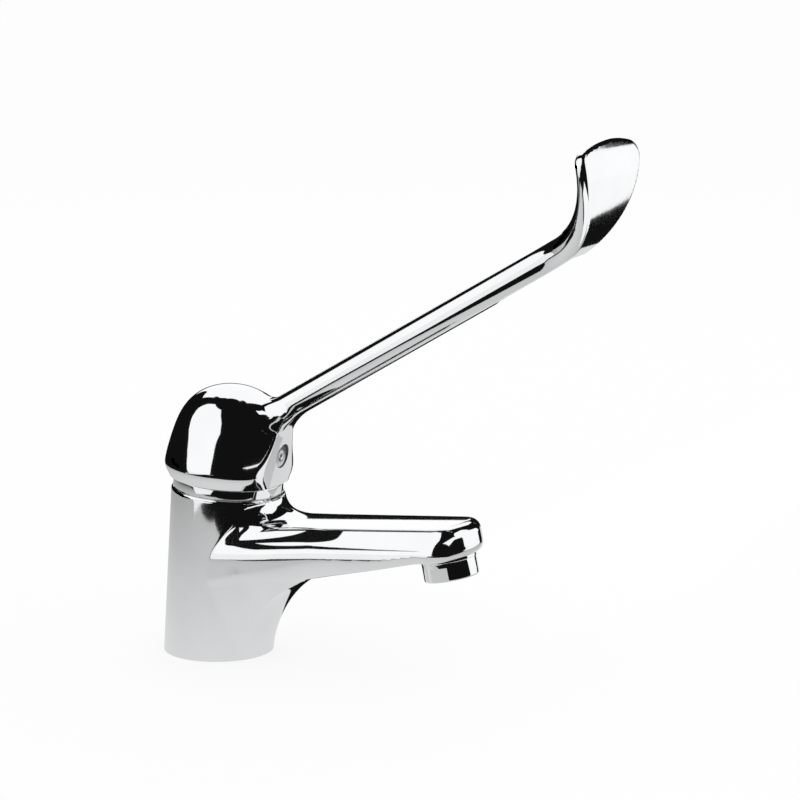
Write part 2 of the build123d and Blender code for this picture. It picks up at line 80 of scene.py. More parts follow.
def leaning(points):
    """Turns points by the lean about the Y axis, which gives u forward, v left and h up the axis."""
    x, y, z = points[..., 0], points[..., 1], points[..., 2]
    return (x * math.cos(LEAN) - z * math.sin(LEAN), y, x * math.sin(LEAN) + z * math.cos(LEAN))


def upright(forward, left, height, tip=0.0):
    """A place in the leaning frame, whose z axis may tip further forward."""
    place = Matrix.Rotation(LEAN, 4, "Y") @ Matrix.Translation((forward, left, height))
    return place @ Matrix.Rotation(tip, 4, "Y")


def smooth_step(value, start, end):
    """0 before start, 1 after end, and 3t^2 - 2t^3 between them, with t the share of the way."""
    t = np.clip((value - start) / (end - start), 0, 1)
    return t * t * (3 - 2 * t)


def slope(field, points, step=2e-5):
    """The field's slope at each point: the difference of the values a step either way, over two steps."""
    sides = [field(points + step * axis) - field(points - step * axis) for axis in np.eye(3)]
    return np.stack(sides, -1) / (2 * step)


def joined(first, second, reach):
    """Soft union of two distances: the lesser one, less (reach - gap)^2 / 4 reach where the gap
    between them is under the reach."""
    near = np.maximum(reach - np.abs(first - second), 0)
    return np.minimum(first, second) - near * near / (4 * np.maximum(reach, 1e-9))


def trimmed(first, second, reach):
    """Soft intersection, which is the soft union turned inside out."""
    return -joined(-first, -second, reach)


def rounded_bar(across, up, half_width, half_height, corner):
    """Distance to a rectangle with round corners, in a section through a bar."""
    side, rise = np.abs(across) - half_width + corner, np.abs(up) - half_height + corner
    outside = np.hypot(np.maximum(side, 0), np.maximum(rise, 0))
    return outside + np.minimum(np.maximum(side, rise), 0) - corner


def crowned_bar(across, above, half_width, side_round, rise_round):
    """A bar that goes on downwards, below its top face at above = 0. Each upper corner is a quarter of
    an ellipse: with k the length of the place in it over its two radii, the distance is near
    (k - 1) k / |place over the radii squared|."""
    side, rise = np.abs(across) - half_width + side_round, above + rise_round
    far_side, far_rise = np.maximum(side, 1e-9), np.maximum(rise, 1e-9)
    k = np.hypot(far_side / side_round, far_rise / rise_round)
    corner = (k - 1) * k / np.hypot(far_side / side_round ** 2, far_rise / rise_round ** 2)
    flat = np.maximum(side - side_round, rise - rise_round)
    return np.where((side > 0) & (rise > 0), corner, flat)


def column(points):
    """Distance from the leaning axis, less the column's radius, which grows evenly from foot to collar
    and ends in a small round."""
    u, v, h = leaning(points)
    side = np.hypot(u, v) - FOOT_RADIUS - (HEAD_RADIUS - FOOT_RADIUS) * h / COLLAR
    return trimmed(side, h - COLLAR, COLLAR_ROUND)


def spout(points):
    """A bar between two rising lines, the crowned deck and the belly, which turns to the outlet's plane
    under the nose. It narrows towards the nose, whose end is round in plan and leans with the
    outlet. It starts inside the column."""
    x, y, z = points[..., 0], points[..., 1], points[..., 2]
    run = x - MID_SPOUT
    deck, belly = DECK_LEVEL + DECK_SLOPE * run, BELLY_LEVEL + BELLY_SLOPE * run
    half = SPOUT_HALF - (SPOUT_HALF - NOSE_HALF) * run / (NOSE_REACH - MID_SPOUT)
    half = half + (ROOT_HALF - SPOUT_HALF) * smooth_step(-run, 0.0, ROOT_RUN)
    lips = OUTLET.z + (x - OUTLET.x) * math.tan(OUTLET_TILT) + LIP
    belly = belly + (lips - belly) * smooth_step(x, LIP_FROM, LIP_FULL)
    under = BELLY_ROUND * (1 + smooth_step(-run, -0.04, 0.0))
    crown = deck - y * y / (2 * DECK_CROWN)
    top = crowned_bar(y, z - crown, half, SHOULDER, np.minimum(SHOULDER_DEPTH, deck - belly))
    bar = np.maximum(top, crowned_bar(y, belly - z, half, under, under))
    along = x + (z - NOSE_LEVEL) * math.tan(OUTLET_TILT)
    plan = rounded_bar(
        y, along - NOSE_REACH + PLAN_HALF, half + PLAN_SPARE, PLAN_HALF, NOSE_ROUND + PLAN_SPARE)
    return np.maximum(trimmed(bar, plan, NOSE_EDGE), 0.001 - x)


def body_field(points):
    """Soft union of column and spout. Its reach is wide in the sweep under the spout and narrow above
    the deck, and it fades where the two surfaces run side by side, which keeps the flanks flat."""
    first, second = column(points), spout(points)
    one, two = slope(column, points, 1e-4), slope(spout, points, 1e-4)
    alike = (one * two).sum(-1) / (np.linalg.norm(one, axis=-1) * np.linalg.norm(two, axis=-1) + 1e-9)
    sweep = smooth_step(-points[..., 2], -SWEEP_TOP, -SWEEP_FULL)
    reach = DECK_BLEND + (SWEEP_BLEND - DECK_BLEND) * sweep
    reach = reach * smooth_step(points[..., 0], BLEND_FROM, BLEND_FULL)
    return joined(first, second, reach * np.clip(1 - alike, 0, 1.2) + 1e-5)


def skin(field, low, high, pitch):
    """Points and four-sided faces of the surface where the field is nought. Every cell of a cubic grid
    that the surface crosses gets one point, at the mean of the crossings on the cell's edges, and
    the four cells round a crossed edge share a face. The points are then evened out, each to the
    mean of its faces' middles, and slide along the field's slope onto the surface."""
    axes = [np.arange(a, b + pitch, pitch) for a, b in zip(low, high)]
    grid = np.stack(np.meshgrid(*axes, indexing="ij"), -1)
    value = field(grid)
    shape = np.array(value.shape) - 1
    total, count = np.zeros((*shape, 3)), np.zeros(shape)
    crossings = []
    for axis in range(3):
        one, two = [k for k in range(3) if k != axis]
        length = [slice(None)] * 3
        length[axis] = slice(None, -1)
        onward = [slice(None)] * 3
        onward[axis] = slice(1, None)
        near, far = value[tuple(length)], value[tuple(onward)]
        crossed = (near < 0) != (far < 0)
        share = np.where(crossed, near / np.where(crossed, near - far, 1), 0)
        place = grid[tuple(length)] + share[..., None] * pitch * np.eye(3)[axis]
        for a in (0, 1):
            for b in (0, 1):
                cut = [slice(None)] * 3
                cut[one] = slice(a, a + shape[one])
                cut[two] = slice(b, b + shape[two])
                total += np.where(crossed[tuple(cut)][..., None], place[tuple(cut)], 0)
                count += crossed[tuple(cut)]
        crossings.append((axis, one, two, crossed, near < 0))
    held = count > 0
    number = np.full(shape, -1)
    number[held] = np.arange(held.sum())
    points = total[held] / count[held][:, None]
    faces = []
    for axis, one, two, crossed, starts_inside in crossings:
        inner = [slice(None)] * 3
        inner[one] = inner[two] = slice(1, -1)
        spot = np.argwhere(crossed[tuple(inner)])
        outward = starts_inside[tuple(inner)][tuple(spot.T)]
        back_one, back_two = np.eye(3, dtype=int)[one], np.eye(3, dtype=int)[two]
        corner = spot + back_one + back_two
        ring = [corner - back_one - back_two, corner - back_two, corner, corner - back_one]
        quads = np.stack([number[tuple(r.T)] for r in ring], -1)
        flip = outward if axis != 1 else ~outward
        faces.append(np.where(flip[:, None], quads, quads[:, ::-1]))
    faces = np.concatenate(faces)
    for evening in range(3):
        middle = points[faces].mean(1)
        for axis in range(3):
            pull = np.bincount(faces.ravel(), np.repeat(middle[:, axis], 4), len(points))
            points[:, axis] = pull / np.bincount(faces.ravel(), minlength=len(points))
        for sliding in range(3):
            rise = slope(field, points)
            points -= (field(points) / (rise ** 2).sum(-1))[:, None] * rise
    return points, faces


def mesh_of(name, points, faces):
    """A mesh object from arrays of points and faces."""
    mesh = bpy.data.meshes.new(name)
    mesh.from_pydata(points.tolist(), [], faces.tolist())
    made = bpy.data.objects.new(name, mesh)
    bpy.context.scene.collection.objects.link(made)
    return made


def revolved(name, profile, place, flat=math.inf, flat_from=math.inf):
    """A solid of revolution: the profile, a closed list of radius and height, is carried round the
    local z axis of the place. Two flats may be cut on it: above the height flat_from no point lies
    further out along local y than flat, so its radius there is the lesser of its own and flat over
    the sine of the angle."""
    ring, rise = np.array(profile, float).T
    angle = np.linspace(0, 2 * math.pi, 128, endpoint=False)
    if flat < ring.max():
        edge = math.asin(flat / ring.max())
        angle = np.sort(np.append(angle, [edge, math.pi - edge, math.pi + edge, 2 * math.pi - edge]))
    reach = np.broadcast_to(ring, (len(angle), len(ring))).copy()
    limit = flat / np.maximum(np.abs(np.sin(angle)), 1e-6)[:, None]
    reach = np.where(rise > flat_from, np.minimum(reach, limit), reach)
    local = np.stack([np.cos(angle)[:, None] * reach, np.sin(angle)[:, None] * reach,
                      np.broadcast_to(rise, reach.shape)], -1).reshape(-1, 3)
    matrix = np.array(place)
    size = len(profile)
    step, item = np.meshgrid(np.arange(len(angle)), np.arange(size), indexing="ij")
    ahead, after = (step + 1) % len(angle), (item + 1) % size
    corners = [step * size + item, ahead * size + item, ahead * size + after, step * size + after]
    faces = np.stack(corners, -1).reshape(-1, 4)
    made = mesh_of(name, local @ matrix[:3, :3].T + matrix[:3, 3], faces)
    work = bmesh.new()
    work.from_mesh(made.data)
    bmesh.ops.remove_doubles(work, verts=work.verts, dist=1e-7)
    bmesh.ops.dissolve_degenerate(work, edges=work.edges, dist=1e-7)
    bmesh.ops.recalc_face_normals(work, faces=work.faces)
    work.to_mesh(made.data)
    work.free()
    return made


def rod(name, radius, start, end, place):
    """A plain round bar between two heights on the local z axis of the place."""
    return revolved(name, [(0, start), (radius, start), (radius, end), (0, end)], place)


def machined(piece, operation, *tools):
    """Cuts the tools out of the piece, or joins them to it, one after the other, and removes them."""
    for tool in tools:
        change = piece.modifiers.new("machined", "BOOLEAN")
        change.operation = operation
        change.solver = "EXACT"
        change.object = tool
        bpy.context.view_layer.update()
        solved = piece.evaluated_get(bpy.context.evaluated_depsgraph_get())
        solid = bpy.data.meshes.new_from_object(solved)
        piece.modifiers.clear()
        piece.data = solid
        bpy.data.objects.remove(tool)


def cut_flat(piece, place, out, ahead=math.inf):
    """Cuts the piece off at a plane and closes it. The plane's way points at what goes; what lies
    further ahead along X than the given place stays."""
    work = bmesh.new()
    work.from_mesh(piece.data)
    near = {corner for corner in work.verts if corner.co.x < ahead}
    edges = [edge for edge in work.edges if near.issuperset(edge.verts)]
    faces = [face for face in work.faces if near.issuperset(face.verts)]
    cut = bmesh.ops.bisect_plane(
        work, geom=[*near, *edges, *faces], dist=1e-7, plane_co=place, plane_no=out, clear_outer=True)
    rim = [edge for edge in cut["geom_cut"] if isinstance(edge, bmesh.types.BMEdge) and edge.is_boundary]
    bmesh.ops.contextual_create(work, geom=rim)
    work.to_mesh(piece.data)
    work.free()


def keep_edges(piece, degrees):
    """Smooth shading, but for the edges that turn by more than the angle."""
    piece.data.shade_smooth()
    piece.data.set_sharp_from_angle(angle=math.radians(degrees))


def corner_places(mesh):
    """The places of a mesh's points, as an array."""
    places = np.zeros(len(mesh.vertices) * 3, np.float32)
    mesh.vertices.foreach_get("co", places)
    return places.reshape(-1, 3).astype(float)


def shade_by_field(piece, field):
    """Smooth shading whose normals follow the field's slope on the cast skin; machined faces keep
    their own. A corner is on the skin where its distance is small and both normals nearly agree."""
    keep_edges(piece, 30)
    mesh = piece.data
    count = len(mesh.loops)
    normals, corners = np.zeros(count * 3, np.float32), np.zeros(count, np.int32)
    mesh.corner_normals.foreach_get("vector", normals)
    mesh.loops.foreach_get("vertex_index", corners)
    places = corner_places(mesh)
    rise = slope(field, places)
    rise /= np.linalg.norm(rise, axis=1)[:, None] + 1e-12
    normals = normals.reshape(-1, 3)
    on_skin = (np.abs(field(places)) < 6e-5)[corners]
    on_skin &= (normals * rise[corners]).sum(1) > 0.75
    normals[on_skin] = rise[corners][on_skin]
    mesh.normals_split_custom_set(normals.tolist())


class Wire:
    """A socket that can stand in an expression: each operator adds the Math node that it names."""

    def __init__(self, nodes, socket):
        self.nodes, self.socket = nodes, socket

    def math(self, operation, first, second):
        return self.nodes.node("ShaderNodeMath", {"operation": operation}, {0: first, 1: second})

    def __add__(self, other):
        return self.math("ADD", self, other)

    def __sub__(self, other):
        return self.math("SUBTRACT", self, other)

    def __rsub__(self, other):
        return self.math("SUBTRACT", other, self)

    def __mul__(self, other):
        return self.math("MULTIPLY", self, other)

    def __gt__(self, other):
        return self.math("GREATER_THAN", self, other)

    def __lt__(self, other):
        return self.math("LESS_THAN", self, other)

    __radd__, __rmul__ = __add__, __mul__


class Nodes:
    """The nodes of one material, or of the world."""

    def __init__(self, tree):
        self.tree = tree

    def feed(self, socket, value):
        """Links a wire to the socket, or sets a plain value on it."""
        if isinstance(value, Wire):
            self.tree.links.new(value.socket, socket)
        else:
            socket.default_value = value

    def node(self, kind, settings, values, result=0):
        """Adds a node with its settings and the values or wires of its sockets, and gives one output."""
        made = self.tree.nodes.new(kind)
        for name, value in settings.items():
            setattr(made, name, value)
        for name, value in values.items():
            self.feed(made.inputs[name], value)
        return Wire(self, made.outputs[result])


class Finish(Nodes):
    """One material: the nodes round its Principled shader. Fixed values go straight onto the shader."""

    def __init__(self, name, **fixed):
        self.material = bpy.data.materials.new(name)
        self.material.use_nodes = True
        super().__init__(self.material.node_tree)
        self.shader = self.tree.nodes["Principled BSDF"]
        for socket, value in fixed.items():
            self.shader.inputs[socket.replace("_", " ")].default_value = value
        self.place = self.node("ShaderNodeTexCoord", {}, {}, "Object")

    def noise(self, scale, detail=3.0, stretch=(1, 1, 1)):
        """A cloudy pattern, which may be drawn out along an axis."""
        place = self.node("ShaderNodeMapping", {}, {"Vector": self.place, "Scale": stretch})
        return self.node("ShaderNodeTexNoise", {}, {"Vector": place, "Scale": scale, "Detail": detail})

    def dress(self, colours, roughness, height, depth):
        """The base colour runs between two colours with the pattern that comes before them, and
        roughness and bump follow the patterns that are given."""
        pattern, base, other = colours
        mixed = {0: pattern, 6: (*base, 1), 7: (*other, 1)}
        colour = self.node("ShaderNodeMix", {"data_type": "RGBA"}, mixed, 2)
        self.feed(self.shader.inputs["Base Color"], colour)
        self.feed(self.shader.inputs["Roughness"], roughness)
        bumped = {"Strength": 1.0, "Distance": depth, "Height": height}
        self.feed(self.shader.inputs["Normal"], self.node("ShaderNodeBump", {}, bumped, "Normal"))
        return self.material

    def glow(self, strength):
        """White light of a strength, which doesn't need the shader."""
        return self.node("ShaderNodeEmission", {}, {"Color": (1, 1, 1, 1), "Strength": strength})

    def show(self, surface):
        """Makes the material look like the surface that is given."""
        self.feed(self.tree.nodes["Material Output"].inputs["Surface"], surface)
        return self.material


def coat(piece, *materials):
    """Gives the piece its materials, in the order of its faces' numbers."""
    piece.data.materials.clear()
    for material in materials:
        piece.data.materials.append(material)


def bare_inside(piece, field, low, high):
    """Faces that lie under the cast skin, between two heights along the axis, take the bare metal."""
    places = corner_places(piece.data)
    depth, height = field(places), leaning(places)[2]
    depth[(height < low) | (height > high)] = 0
    inside = [depth[list(face.vertices)].mean() < -2.5e-4 for face in piece.data.polygons]
    piece.data.polygons.foreach_set("material_index", np.array(inside, np.int32))


polish = Finish("polished_chrome", Metallic=1.0)
haze, grain = polish.noise(55.0), polish.noise(1400.0, 2.0)
chrome_colours = (haze, (0.80, 0.81, 0.82), (0.88, 0.885, 0.89))
chrome = polish.dress(chrome_colours, 0.028 + grain * 0.03 + haze * 0.02, haze + grain * 0.04, 2.5e-5)
turning = Finish("bare_brass", Metallic=1.0)
marks, stain = turning.noise(500.0, 2.0, (1, 1, 7)), turning.noise(90.0)
brass_colours = (stain, (0.78, 0.56, 0.25), (0.62, 0.42, 0.18))
brass = turning.dress(brass_colours, 0.26 + marks * 0.2, marks, 6e-5)

body = mesh_of("body_casting", *skin(body_field, *BODY_ROOM, BODY_PITCH))
axis_way = Vector((math.sin(LEAN), 0, math.cos(LEAN)))
cut_flat(body, Vector((0, 0, 0)), Vector((0, 0, -1)))
cut_flat(body, axis_way * (COLLAR + 3e-5), axis_way, MID_SPOUT)

BOSS_RADIUS = 0.0124
CHAMBER_FLOOR, CHAMBER_THREAD_FROM, CHAMBER_TOP = 0.04, 0.0655, 0.09
CHAMBER_BORE, CHAMBER_THREAD = 0.0201, 0.0215
RECESS_RADIUS, RECESS_TOP = 0.02, 0.022
GROOVE_INNER, GROOVE_OUTER, GROOVE_TOP = 0.02135, 0.02385, 0.00225
BELOW_FOOT = -0.01
OUTLET_THREAD = 0.011
STUD_THREAD, STUD_BACK = 0.0034, -0.013
INLET_THREAD, INLET_BORE = 0.0045, 0.0032
INLET_BACK, INLET_SIDE = -0.0046, 0.008
PEG_HOLE, PEG_FORWARD, PEG_SIDE = 0.0019, 0.0063, 0.0136
OUTLET_PORT, OUTLET_PORT_FORWARD = 0.0032, 0.0095

upwards = Matrix.Identity(4)
outlet = Matrix.Translation(OUTLET) @ Matrix.Rotation(math.pi - OUTLET_TILT, 4, "Y")
machined(body, "UNION", rod("boss", BOSS_RADIUS, -0.0075, 0, outlet))
chamber = [(0, CHAMBER_FLOOR), (CHAMBER_BORE, CHAMBER_FLOOR), (CHAMBER_BORE, CHAMBER_THREAD_FROM),
           (CHAMBER_THREAD, CHAMBER_THREAD_FROM), (CHAMBER_THREAD, CHAMBER_TOP), (0, CHAMBER_TOP)]
groove = [(GROOVE_INNER, BELOW_FOOT), (GROOVE_OUTER, BELOW_FOOT), (GROOVE_OUTER, GROOVE_TOP),
          (GROOVE_INNER, GROOVE_TOP)]
inlet = [(0, 0.015), (INLET_THREAD, 0.015), (INLET_THREAD, 0.034), (INLET_BORE, 0.0375),
         (INLET_BORE, 0.041), (0, 0.041)]
machined(
    body, "DIFFERENCE",
    revolved("chamber", chamber, upright(0, 0, 0)),
    rod("recess", RECESS_RADIUS, BELOW_FOOT, RECESS_TOP, upwards),
    revolved("groove", groove, upwards),
    rod("outlet_thread", OUTLET_THREAD, -0.009, 0.02, outlet),
    rod("stud_thread", STUD_THREAD, 0.015, 0.034, upright(STUD_BACK, 0, 0)))
for side in (-1, 1):
    machined(
        body, "DIFFERENCE",
        revolved("inlet", inlet, upright(INLET_BACK, side * INLET_SIDE, 0)),
        rod("peg_hole", PEG_HOLE, 0.037, 0.042, upright(PEG_FORWARD, side * PEG_SIDE, 0)))
port_place = upright(OUTLET_PORT_FORWARD, 0, 0)
machined(body, "DIFFERENCE", rod("outlet_port", OUTLET_PORT, 0.033, 0.041, port_place))
shade_by_field(body, body_field)
coat(body, chrome, brass)
bare_inside(body, body_field, BELOW_FOOT, COLLAR - 4e-4)
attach(body, "tap")
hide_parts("body")


# Handle.
# One zinc casting, chromed: a dome over the cartridge, its bowed front with the index plug, and a
# long lever that a user can work with an elbow, ending in an upturned paddle.
RIM = 0.0805
RIM_RADIUS = 0.0266
TUCK = math.radians(28)
DOME_MIDDLE = 0.095
DOME_OUTLINE = [(0.0291, RIM), (0.029, 0.0864), (0.0273, 0.0959), (0.0247, 0.1053), (0.0194, 0.1142),
                (0.0145, 0.119), (0.0, 0.1224)]
CAST_EDGE = 0.0012
FRONT = 0.0268
FRONT_LEVEL = 0.0943
FRONT_BOW = 0.062
FRONT_TIP = math.radians(5.7)
WEB_HALF = 0.0067
WEB_DEPTH = 0.02
WEB_ROUND = 0.004
WEB_TOP = 0.112
WEB_BLEND = 0.009
LEVER_FROM = Vector((0.020, 0, 0.1045))
LEVER_PITCH = math.radians(30.65)
LEVER_RUN = 0.1739
LEVER_HALF = 0.008
LEVER_THICK = 0.0115
LEVER_ROUND = 0.9
LEVER_BLEND_UNDER, LEVER_BLEND_OVER = 0.005, 0.008
BEND = 0.038
BEND_END = math.radians(105)
PADDLE_HALF = 0.0305
PADDLE_THICK = 0.005
PADDLE_TIP = 0.0039
PADDLE_BOW = 0.115
PADDLE_CORNER = 0.010
HANDLE_PITCH = 0.00085
HANDLE_ROOM = ((-0.034, -0.034, 0.068), (0.196, 0.034, 0.244))

ring, rise = np.array(DOME_OUTLINE).T
polar = np.arctan2(ring, rise - DOME_MIDDLE)
dome_curve = np.polyfit(np.cos(polar), np.hypot(ring, rise - DOME_MIDDLE), 4)


def dome(points):
    """Distance from a middle point on the axis, less a smooth curve of the angle from the axis that
    runs through the dome's outline; a cone tucks the skirt in at the rim."""
    u, v, h = leaning(points)
    around, up = np.hypot(u, v), h - DOME_MIDDLE
    far = np.hypot(around, up)
    skirt = far - np.polyval(dome_curve, up / np.maximum(far, 1e-6))
    tuck = (around - RIM_RADIUS) * math.cos(TUCK) - (h - RIM) * math.sin(TUCK)
    return trimmed(skirt, tuck, CAST_EDGE)


def web(points):
    """Upright bar under the lever's root, from the rim up into the lever."""
    u, v, h = leaning(points)
    return rounded_bar(v, u - WEB_DEPTH, WEB_HALF, WEB_DEPTH, WEB_ROUND)


def front(points):
    """Distance past the front, a wide cylinder that leans out a little more than the dome's axis."""
    u, v, h = leaning(points)
    out = (u - FRONT) * math.cos(FRONT_TIP) - (h - FRONT_LEVEL) * math.sin(FRONT_TIP)
    return np.hypot(out + FRONT_BOW, v) - FRONT_BOW


def along_lever(points):
    """Place along the lever's line and height over it: straight at the lever's pitch, then round the
    bend to a little past upright, then straight on."""
    x, z = points[..., 0] - LEVER_FROM.x, points[..., 2] - LEVER_FROM.z
    run = x * math.cos(LEVER_PITCH) + z * math.sin(LEVER_PITCH)
    over = z * math.cos(LEVER_PITCH) - x * math.sin(LEVER_PITCH)
    full = BEND_END - LEVER_PITCH
    turn = np.arctan2(run - LEVER_RUN, BEND - over)
    away = np.hypot(run - LEVER_RUN, BEND - over)
    ahead = (run - LEVER_RUN) * math.cos(full) - (BEND - over) * math.sin(full)
    below = (run - LEVER_RUN) * math.sin(full) + (BEND - over) * math.cos(full)
    straight, past = run < LEVER_RUN, (turn > full) & (run >= LEVER_RUN)
    along = np.where(straight, run, LEVER_RUN + BEND * np.clip(turn, 0, full))
    along = np.where(past, LEVER_RUN + BEND * full + ahead, along)
    return along, np.where(straight, over, np.where(past, BEND - below, BEND - away))


def lever(points):
    """A bar with round corners along the lever's line, which widens and thins into the paddle, and
    ends in a shallow arc with round corners."""
    along, height = along_lever(points)
    across = points[..., 1]
    full = LEVER_RUN + BEND * (BEND_END - LEVER_PITCH) + PADDLE_TIP
    wide = smooth_step(along, LEVER_RUN - 0.012, full - 0.005)
    half = LEVER_HALF + (PADDLE_HALF - LEVER_HALF) * wide
    thin = smooth_step(along, LEVER_RUN - 0.004, full - 0.012)
    thick = LEVER_THICK / 2 - (LEVER_THICK - PADDLE_THICK) / 2 * thin
    bar = rounded_bar(across, height, half, thick, thick * LEVER_ROUND)
    bow = across ** 2 / (2 * PADDLE_BOW)
    tip = rounded_bar(across, along + bow - full + PLAN_HALF, half + 0.002, PLAN_HALF, PADDLE_CORNER)
    return np.maximum(trimmed(bar, tip, 0.002), -along)


def handle_field(points):
    """Soft union of dome and web, cut at the front, and then joined with the lever."""
    u, v, h = leaning(points)
    bulk = joined(dome(points), np.maximum(web(points), h - WEB_TOP), WEB_BLEND)
    fronted = trimmed(bulk, front(points), CAST_EDGE)
    over = smooth_step(h, 0.104, WEB_TOP)
    reach = LEVER_BLEND_UNDER + (LEVER_BLEND_OVER - LEVER_BLEND_UNDER) * over
    return joined(fronted, lever(points), reach)


def block(name, half_x, half_y, start, end, place):
    """A plain square bar between two heights on the local z axis of the place."""
    corners = [(x, y, z) for z in (start, end) for x, y in ((-1, -1), (1, -1), (1, 1), (-1, 1))]
    local = np.array(corners) * (half_x, half_y, 1)
    matrix = np.array(place)
    ends, sides = [(3, 2, 1, 0), (4, 5, 6, 7)], [(0, 1, 5, 4), (1, 2, 6, 5), (2, 3, 7, 6), (3, 0, 4, 7)]
    return mesh_of(name, local @ matrix[:3, :3].T + matrix[:3, 3], np.array(ends + sides))


handle = mesh_of("handle_casting", *skin(handle_field, *HANDLE_ROOM, HANDLE_PITCH))
cut_flat(handle, axis_way * RIM, -axis_way)

# The cavity's roof is the curve (radius / CAVITY_RADIUS)^3 + (rise / CAVITY_RISE)^3 = 1.
CAVITY_MOUTH = 0.0256
CAVITY_RADIUS = 0.0264
CAVITY_SHOULDER = 0.0864
CAVITY_RISE = 0.0216
CAVITY_BELOW = 0.0779
FRONT_WALL = 0.0026
SOCKET_HALF = 0.0075
STEM_HOLE_HALF = 0.00405
STEM_LEVEL = 0.072
STEM_TIP = math.radians(12.5)
SCREW_BOSS = 0.0065
SCREW_HOLE = 0.00305
PLUG_RECESS, PLUG_SEAT = 0.0055, 0.0235

arc = np.linspace(0, math.pi / 2, 24)
roof_radius = CAVITY_RADIUS * np.cos(arc) ** (2 / 3)
roof_height = CAVITY_SHOULDER + CAVITY_RISE * np.sin(arc) ** (2 / 3)
hollow = [(0, CAVITY_BELOW), (CAVITY_MOUTH, CAVITY_BELOW), (CAVITY_MOUTH, RIM),
          *np.stack([roof_radius, roof_height], -1).tolist()]
cavity = revolved("cavity", hollow, upright(0, 0, 0))
bow = upright(FRONT, 0, FRONT_LEVEL, FRONT_TIP) @ Matrix.Translation((-FRONT_BOW, 0, 0))
machined(cavity, "INTERSECT", rod("front_wall", FRONT_BOW - FRONT_WALL, -0.04, 0.04, bow))
stem_place = upright(0, 0, STEM_LEVEL, STEM_TIP)
forward = upright(0, 0, FRONT_LEVEL) @ Matrix.Rotation(math.pi / 2, 4, "Y")
machined(
    cavity, "DIFFERENCE",
    block("socket", SOCKET_HALF, SOCKET_HALF, 0.014, 0.05, stem_place),
    rod("screw_boss", SCREW_BOSS, 0, 0.03, forward))
machined(
    handle, "DIFFERENCE", cavity,
    block("stem_hole", STEM_HOLE_HALF, STEM_HOLE_HALF, 0, 0.0283, stem_place),
    rod("plug_recess", PLUG_RECESS, PLUG_SEAT, 0.032, forward),
    rod("screw_hole", SCREW_HOLE, 0.0075, 0.024, forward))
shade_by_field(handle, handle_field)
cast = Finish("bare_zinc", Metallic=1.0)
pores, cloud = cast.noise(1500.0), cast.noise(120.0)
zinc = cast.dress((cloud, (0.42, 0.43, 0.44), (0.30, 0.31, 0.32)), 0.45 + pores * 0.2, pores, 8e-5)
coat(handle, chrome, zinc)
bare_inside(handle, handle_field, RIM + 2e-4, 0.3)
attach(handle, "handle")
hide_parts("handle")


# Cover ring.
# A thin turned and chromed ring that drops over the cartridge nut, between the body and the handle.
# Its edges are broken with small rounds.
def eased(corners, sizes):
    """A closed outline whose corners give way to a curve: (1-t)^2 start + 2t(1-t) corner + t^2 end,
    from the given size before the corner to the same size after it."""
    corners = np.array(corners, float)
    to_last, to_next = np.roll(corners, 1, 0) - corners, np.roll(corners, -1, 0) - corners
    share = np.array(sizes, float)[:, None]
    start = corners + share * to_last / np.linalg.norm(to_last, axis=1)[:, None]
    end = corners + share * to_next / np.linalg.norm(to_next, axis=1)[:, None]
    t = np.linspace(0, 1, 6)[None, :, None]
    curve = (1 - t) ** 2 * start[:, None] + 2 * t * (1 - t) * corners[:, None] + t ** 2 * end[:, None]
    return [point for place, size in zip(curve, sizes) for point in (place if size else place[:1])]


RING_BORE, RING_RADIUS, RING_MOUTH = 0.0221, 0.0247, 0.0179
RING_TOP, RING_ROOF = 0.0801, 0.0789
ring_corners = [(RING_BORE, COLLAR), (RING_RADIUS, COLLAR), (RING_RADIUS, RING_TOP),
                (RING_MOUTH, RING_TOP), (RING_MOUTH, RING_ROOF), (RING_BORE, RING_ROOF)]
ring_rounds = [0.0003, 0.0004, 0.0007, 0.0002, 0.0002, 0]
cover_ring = revolved("cover_ring_turned", eased(ring_corners, ring_rounds), upright(0, 0, 0))
keep_edges(cover_ring, 35)
coat(cover_ring, chrome)
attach(cover_ring, "tap")
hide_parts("cover_ring")


# Index plug.
# A round plug pressed into the front of the handle, over the grub screw. Its face is slightly
# domed, with a dimple in its middle.
PLUG_RADIUS = 0.00545
PLUG_BACK = 0.02355
plug_face = [(PLUG_RADIUS, 0.0256), (0.0052, 0.0258), (0.0045, 0.0259), (0.003, 0.026), (0.0012, 0.02605)]
dimple = [(0.0009, 0.0259), (0.0007, 0.0253), (0, 0.0252)]
plug_outline = [(0, PLUG_BACK), (PLUG_RADIUS, PLUG_BACK), *plug_face, *dimple]
plug = revolved("index_plug_turned", plug_outline, forward)
keep_edges(plug, 50)
badge = Finish("index_plug_plated", Metallic=0.9)
fine = badge.noise(900.0)
coat(plug, badge.dress((fine, (0.62, 0.63, 0.65), (0.74, 0.75, 0.76)), 0.12 + fine * 0.06, fine, 1e-5))
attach(plug, "handle")
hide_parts("index_plug")


# Aerator housing.
# A turned brass ring, chromed, screwed up into the nose; two flats take the spanner. Heights go
# down from the outlet's plane, so the thread lies above it and the collar with the flats below.
FLAT = 0.0113
FLAT_FROM = 0.0021
HOUSING_RADIUS = 0.0121
HOUSING_THREAD, HOUSING_THREAD_TOP = 0.01095, -0.006
HOUSING_BORE = 0.0098
HOUSING_MOUTH, HOUSING_LIP, HOUSING_END = 0.0087, 0.0072, 0.0083
housing_corners = [
    (HOUSING_BORE, HOUSING_THREAD_TOP), (HOUSING_THREAD, HOUSING_THREAD_TOP), (HOUSING_THREAD, 0.0),
    (HOUSING_RADIUS, 0.0), (HOUSING_RADIUS, FLAT_FROM), (HOUSING_RADIUS, FLAT_FROM + 3e-5),
    (HOUSING_RADIUS, HOUSING_END), (HOUSING_MOUTH, HOUSING_END), (HOUSING_MOUTH, HOUSING_LIP),
    (HOUSING_BORE, HOUSING_LIP)]
